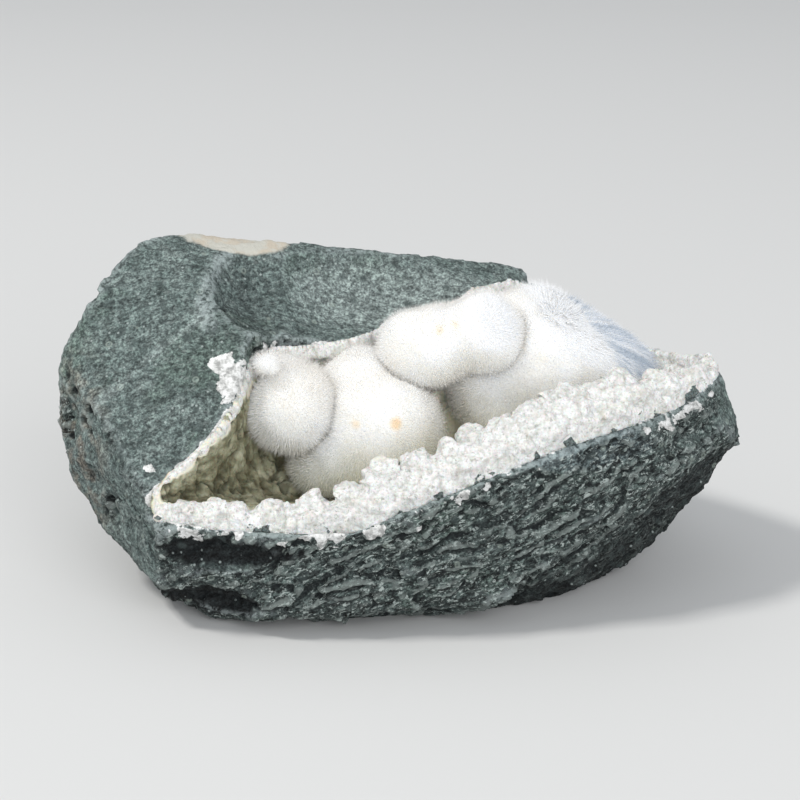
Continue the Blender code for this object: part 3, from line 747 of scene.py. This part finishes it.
def lumpy_crust():
    """The crust that lines the hollow: crumbly lumps, and fine wrinkles on the inner wall."""
    crust = reskinned(merged_copy("hollow_crust", "lumpy_crust"), CRUST_GRAIN)
    mesh = crust.data
    co = softened(mesh, points(mesh), 4)
    behind = co[:, 1] / MM - np.interp(co[:, 0] / MM, *np.array(LIP_CREST).T)
    lip = rise(6, 3, behind)[:, None]
    co = co + lip * (softened(mesh, co, 26) - co)
    move_points(mesh, co)
    n = outward(mesh)
    mm = co / MM
    gap = distance_to(surface_of("basalt_stone"), co, 6 * MM) / MM
    blur = clouds(co, 3 * MM, 12, 3)
    hidden = rise(0.2, 1.4, behind + 0.7 * blur)
    from_rim = from_line(mm, *BACK_RIM)
    rim = rise(0.4, 0.9, from_rim + 0.5 * clouds(co, 2 * MM, 11, 2))
    inner = hidden * rim * rise(-4, -13, mm[:, 0] + 2.5 * blur) * rise(39, 34, mm[:, 2] + blur)
    deep = 0.5 * hidden * rim * rise(31, 27, mm[:, 2])
    deep *= rise(-12, -6, mm[:, 0]) * rise(30, 24, mm[:, 0])
    near, second = pebbles(co + 1.0 * MM * wobble(co, 2.4 * MM, 13), 2.4 * MM, 14)
    dome = np.sqrt(np.clip(second - near, 0, 1))
    small_near, small_second = pebbles(co + 0.4 * MM * wobble(co, 1.1 * MM, 22), 1.05 * MM, 15)
    small_dome = np.sqrt(np.clip(small_second - small_near, 0, 1))
    wrinkle = clouds(co, 1.6 * MM, 16, 4)
    size = 1 + 1.2 * clouds(co, 5 * MM, 17, 2)
    lift = (1 - inner) * (0.36 * size * (dome - 0.35) + 0.24 * (small_dome - 0.5) + 0.42 * wrinkle)
    lift *= 0.3 + 0.7 * rise(0.8, 3.0, from_rim)
    lift += (1 - inner) * rise(1.0, 3.0, gap) * (0.20 + 1.5 * clouds(co, 3.4 * MM, 20, 3))
    lift += 4.5 * rise(1.2, 0.5, blob(mm, (8.5, 3.5, 26.5), (5, 6, 6)))
    fold = np.abs(clouds(co * np.array([1, 1, 0.6]), 4.2 * MM, 18, 3))
    lift += inner * (0.42 * wrinkle - 0.9 * rise(0.12, 0.0, fold) + 0.4 * rise(0.1, 0.5, fold))
    lift = lift * rise(0.2, 0.9, gap) + 0.25 + 0.40 * rise(1.1, 0.5, gap)
    co += n * lift[:, None] * MM
    co[:, 2] = np.maximum(co[:, 2], 0.3 * MM)
    move_points(mesh, co)
    # Where the lumps meet and where the inner wall folds: the finish paints shade there.
    painted_crease_shade = rise(0.14, 0.03, second - near) * 0.7
    painted_crease_shade += rise(0.12, 0.02, small_second - small_near) * 0.5
    folds = rise(0.09, 0.02, fold) + 0.7 * rise(-0.15, -0.5, wrinkle)
    painted_crease_shade = np.maximum(painted_crease_shade * (1 - inner), inner * folds)
    facing = rise(0.1, 0.5, -n[:, 1]) * rise(1.5, -1.5, behind)
    bare = facing * (0.5 + 0.35 * (-0.75 * white_reach(co) - gap + 0.1))
    keep(mesh, "painted_crease_shade", np.clip(painted_crease_shade, 0, 1))
    keep(mesh, "inner_wall", np.clip(np.maximum(inner, deep), 0, 1))
    keep(mesh, "bare", np.clip(bare, 0, 1))
    return thinned(crust, CRUST_FACES)


# The balls


def radial(co, node):
    """The way the fibres point: away from the heart of the part of the ball they grow on."""
    total = np.zeros_like(co)
    for centre, reach in HEARTS[node]:
        away = co / MM - np.array(centre)
        far = np.linalg.norm(away, axis=1, keepdims=True)
        total += away / np.maximum(far, 1e-6) * np.exp(-(far / reach - 1.0) / 0.12)
    return total / np.maximum(np.linalg.norm(total, axis=1, keepdims=True), 1e-9)


def unit(v):
    """The arrows made one long."""
    return v / np.maximum(np.linalg.norm(v, axis=1, keepdims=True), 1e-9)


def ball_core(node, pile):
    """The inside of a ball, pile below its skin, with the fibres' direction and length on it."""
    core = reskinned(merged_copy(node, node + "_fur"), BALL_GRAIN)
    mesh = core.data
    solid = points(mesh)
    skin = softened(mesh, solid, 16)
    move_points(mesh, skin)
    n = outward(mesh)
    lost = softened(mesh, ((solid - skin) * n).sum(axis=1)[:, None], 16)
    others = surface_of(*[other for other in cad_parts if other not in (node, "basalt_stone")])
    near = distance_to(others, skin, 4 * MM) / MM
    skin = skin + n * (np.maximum(lost, 0) + (0.40 + 0.95 * rise(2.4, 0.4, near)[:, None]) * MM)
    lumps = 0.45 * clouds(skin, 5 * MM, 24, 2) + 0.22 * clouds(skin, 1.8 * MM, 25, 2)
    skin += n * (lumps * MM)[:, None]
    mm = skin / MM
    lie = 0.45 * n + 0.55 * radial(skin, node)
    long = np.ones(len(mm))
    section = np.zeros(len(mm))
    fan = np.zeros(len(mm))
    if node == "puffball_right":
        facing = np.array(BREAK_NORMAL) / np.linalg.norm(BREAK_NORMAL)
        side = (mm - np.array(BREAK_POINT)) @ facing
        section = rise(-2.0, -1.0, side) * rise(24.5, 27.5, mm[:, 0] + 0.4 * (mm[:, 1] + 5))
        spread = mm - np.array(BREAK_HEART)
        spread = unit(spread - (spread @ facing)[:, None] * facing)
        past = (mm - np.array([27.5, 8, 46.5])) @ np.array([0.75, 0.55, -0.36])
        past += 1.2 * clouds(skin, 3.5 * MM, 21, 2)
        fan = section * rise(4.5, 2.5, past)
        section = section * (1 - fan)
        lie += (0.9 * section + 1.1 * fan)[:, None] * (spread - 0.6 * lie)
        long += 0.4 * section + 0.9 * fan
    if node == "puffball_upper":
        fan = rise(1.25, 0.85, np.linalg.norm(mm - np.array(CRATER), axis=1) / CRATER_REACH)
        spread = unit(mm - np.array(CRATER_HEART))
        lie += 0.9 * fan[:, None] * (spread - 0.5 * lie)
        long += 0.9 * fan
    lie = unit(lie)
    co = softened(mesh, skin - n * pile * MM, 3)
    move_points(mesh, co)
    keep_arrows(mesh, "lie", lie)
    start = skin + n * 0.3 * MM
    clear = [
        others.ray_cast(Vector(p), Vector(d), 1.5 * MM)[0] is None
        for p, d in zip(start.tolist(), n.tolist())
    ]
    shown = softened(mesh, np.array(clear, float)[:, None], 2)[:, 0]
    keep(mesh, "shown", 0.15 + 0.85 * shown)
    keep(mesh, "long", long)
    keep(mesh, "section", section)
    keep(mesh, "fan", fan)
    # Painted shade: the lower part of each ball, which the finish tints cream.
    keep(mesh, "low", rise(31, 21, mm[:, 2] - 0.15 * mm[:, 0]))
    return core


def fibre_tree():
    """Geometry nodes that grow thin tapered crystals from a core, and join them to it."""
    tree = bpy.data.node_groups.new("radial_fibres", "GeometryNodeTree")
    face = tree.interface
    face.new_socket(name="Core", in_out="INPUT", socket_type="NodeSocketGeometry")
    for name, kind in (
        ("Fibres per square metre", "Float"),
        ("Fibre length", "Float"),
        ("Fibre width", "Float"),
        ("Shortest share", "Float"),
        ("Spread", "Float"),
        ("Seed", "Int"),
        ("Finish", "Material"),
    ):
        face.new_socket(name=name, in_out="INPUT", socket_type="NodeSocket" + kind)
    face.new_socket(name="Ball", in_out="OUTPUT", socket_type="NodeSocketGeometry")
    given = tree.nodes.new("NodeGroupInput").outputs
    out = tree.nodes.new("NodeGroupOutput")
    link = tree.links.new

    shown = tree.nodes.new("GeometryNodeInputNamedAttribute")
    shown.data_type = "FLOAT"
    shown.inputs["Name"].default_value = "shown"
    crowd = tree.nodes.new("ShaderNodeMath")
    crowd.operation = "MULTIPLY"
    link(given["Fibres per square metre"], crowd.inputs[0])
    link(shown.outputs["Attribute"], crowd.inputs[1])
    scatter = tree.nodes.new("GeometryNodeDistributePointsOnFaces")
    link(given["Core"], scatter.inputs["Mesh"])
    link(crowd.outputs[0], scatter.inputs["Density"])
    link(given["Seed"], scatter.inputs["Seed"])

    fibre = tree.nodes.new("GeometryNodeMeshCone")
    fibre.fill_type = "NGON"
    fibre.inputs["Vertices"].default_value = 3
    fibre.inputs["Radius Top"].default_value = 0.0
    fibre.inputs["Radius Bottom"].default_value = 0.5
    fibre.inputs["Depth"].default_value = 1.0

    lie = tree.nodes.new("GeometryNodeInputNamedAttribute")
    lie.data_type = "FLOAT_VECTOR"
    lie.inputs["Name"].default_value = "lie"
    jitter = tree.nodes.new("FunctionNodeRandomValue")
    jitter.data_type = "FLOAT_VECTOR"
    jitter.inputs[0].default_value = (-1, -1, -1)
    jitter.inputs[1].default_value = (1, 1, 1)
    stray = tree.nodes.new("ShaderNodeVectorMath")
    stray.operation = "SCALE"
    link(jitter.outputs[0], stray.inputs[0])
    link(given["Spread"], stray.inputs["Scale"])
    aim = tree.nodes.new("ShaderNodeVectorMath")
    aim.operation = "ADD"
    link(lie.outputs["Attribute"], aim.inputs[0])
    link(stray.outputs[0], aim.inputs[1])
    turn = tree.nodes.new("FunctionNodeAlignRotationToVector")
    turn.axis = "Z"
    link(aim.outputs[0], turn.inputs["Vector"])

    part = tree.nodes.new("FunctionNodeRandomValue")
    part.data_type = "FLOAT"
    link(given["Shortest share"], part.inputs[2])
    part.inputs[3].default_value = 1.0
    part.inputs["Seed"].default_value = 3
    long = tree.nodes.new("ShaderNodeMath")
    long.operation = "MULTIPLY"
    link(given["Fibre length"], long.inputs[0])
    link(part.outputs[1], long.inputs[1])
    stretch = tree.nodes.new("GeometryNodeInputNamedAttribute")
    stretch.data_type = "FLOAT"
    stretch.inputs["Name"].default_value = "long"
    reach = tree.nodes.new("ShaderNodeMath")
    reach.operation = "MULTIPLY"
    link(long.outputs[0], reach.inputs[0])
    link(stretch.outputs["Attribute"], reach.inputs[1])
    size = tree.nodes.new("ShaderNodeCombineXYZ")
    link(given["Fibre width"], size.inputs[0])
    link(given["Fibre width"], size.inputs[1])
    link(reach.outputs[0], size.inputs[2])

    grow = tree.nodes.new("GeometryNodeInstanceOnPoints")
    link(scatter.outputs["Points"], grow.inputs["Points"])
    link(fibre.outputs["Mesh"], grow.inputs["Instance"])
    link(turn.outputs[0], grow.inputs["Rotation"])
    link(size.outputs[0], grow.inputs["Scale"])
    real = tree.nodes.new("GeometryNodeRealizeInstances")
    link(grow.outputs[0], real.inputs[0])
    dressed = tree.nodes.new("GeometryNodeSetMaterial")
    link(real.outputs[0], dressed.inputs["Geometry"])
    link(given["Finish"], dressed.inputs["Material"])
    whole = tree.nodes.new("GeometryNodeJoinGeometry")
    link(dressed.outputs[0], whole.inputs[0])
    link(given["Core"], whole.inputs[0])
    link(whole.outputs[0], out.inputs["Ball"])
    return tree


def grown(obj, tree, **given):
    """Runs the tree on the object with these inputs and makes the result its mesh."""
    modifier = obj.modifiers.new(tree.name, "NODES")
    modifier.node_group = tree
    for item in tree.interface.items_tree:
        if item.in_out == "INPUT" and item.name in given:
            modifier[item.identifier] = given.pop(item.name)
    assert not given, given
    return settled(obj)


def furry_ball(node, tree, core_finish, fur_finish, pile, long, count, width, spread, seed):
    """One ball: its core and about count fibres grown on it, joined in one mesh."""
    core = ball_core(node, pile)
    core.data.materials.append(core_finish)
    area = sum(p.area for p in core.data.polygons)
    mean = np.empty(len(core.data.vertices), np.float32)
    core.data.attributes["shown"].data.foreach_get("value", mean)
    return grown(
        core,
        tree,
        **{
            "Fibres per square metre": count / (area * float(mean.mean())),
            "Fibre length": long * MM,
            "Fibre width": width * MM,
            "Shortest share": 0.35,
            "Spread": spread,
            "Seed": seed,
            "Finish": fur_finish,
        },
    )


# The setting


def set_camera():
    """The camera in front of the stone, looking 20 degrees down at it."""
    lens = bpy.data.cameras.new("camera")
    lens.lens = 85
    lens.sensor_width = 36
    lens.shift_x = 0.00375
    lens.shift_y = 0.03125
    lens.clip_start = 0.01
    lens.clip_end = 20
    camera = linked("camera", lens)
    camera.location = (-0.00056, -0.31449, 0.13987)
    camera.rotation_euler = (math.radians(70), 0, 0)
    bpy.context.scene.camera = camera


def set_lamp(name, travel, distance, width, power, colour=(1, 1, 1)):
    """A square soft lamp that shines along travel at the object."""
    lamp = bpy.data.lights.new(name, "AREA")
    lamp.size = width
    lamp.energy = power
    lamp.color = colour
    obj = linked(name, lamp)
    way = Vector(travel).normalized()
    obj.location = Vector((0, 0, 0.02)) - way * distance
    obj.rotation_euler = way.to_track_quat("-Z", "Y").to_euler()


def set_floor():
    """A wide pale floor."""
    bm = bmesh.new()
    bmesh.ops.create_grid(bm, x_segments=1, y_segments=1, size=6)
    mesh = bpy.data.meshes.new("floor")
    bm.to_mesh(mesh)
    bm.free()
    floor = linked("floor", mesh)
    finish, _, shader, _ = new_finish("pale floor")
    shader.inputs["Base Color"].default_value = (0.68, 0.68, 0.67, 1)
    shader.inputs["Roughness"].default_value = 0.85
    mesh.materials.append(finish)


def set_stage():
    """Camera, floor, two soft lamps and a pale sky."""
    set_camera()
    set_floor()
    set_lamp("key", (0.55, 0.12, -0.83), 1.6, 0.24, 12.6, (1.0, 0.985, 0.96))
    set_lamp("fill", (-0.34, 0.86, -0.38), 1.6, 1.3, 16.5, (0.97, 0.98, 1.0))
    world = bpy.data.worlds.new("studio")
    world.use_nodes = True
    air = world.node_tree.nodes["Background"]
    air.inputs["Color"].default_value = (0.93, 0.96, 1.0, 1)
    air.inputs["Strength"].default_value = 0.56
    scene = bpy.context.scene
    scene.world = world
    scene.view_settings.view_transform = "Standard"


set_stage()
basalt = basalt_finish()
druse = druse_finish()
okenite = okenite_finish("okenite", False)
okenite_fibres = okenite_finish("okenite_fibres", True)

stone = rough_stone()
stone.data.materials.append(basalt)
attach(stone, "root")
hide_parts("basalt_stone")

crust = lumpy_crust()
crust.data.materials.append(druse)
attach(crust, "root")
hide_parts("hollow_crust")

fur = fibre_tree()
for node, pile, long, count, width, spread, seed in FUR:
    ball = furry_ball(node, fur, okenite, okenite_fibres, pile, long, count, width, spread, seed)
    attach(ball, "root")
    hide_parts(node)
    print(node, sum(len(p.vertices) - 2 for p in ball.data.polygons), "triangles")
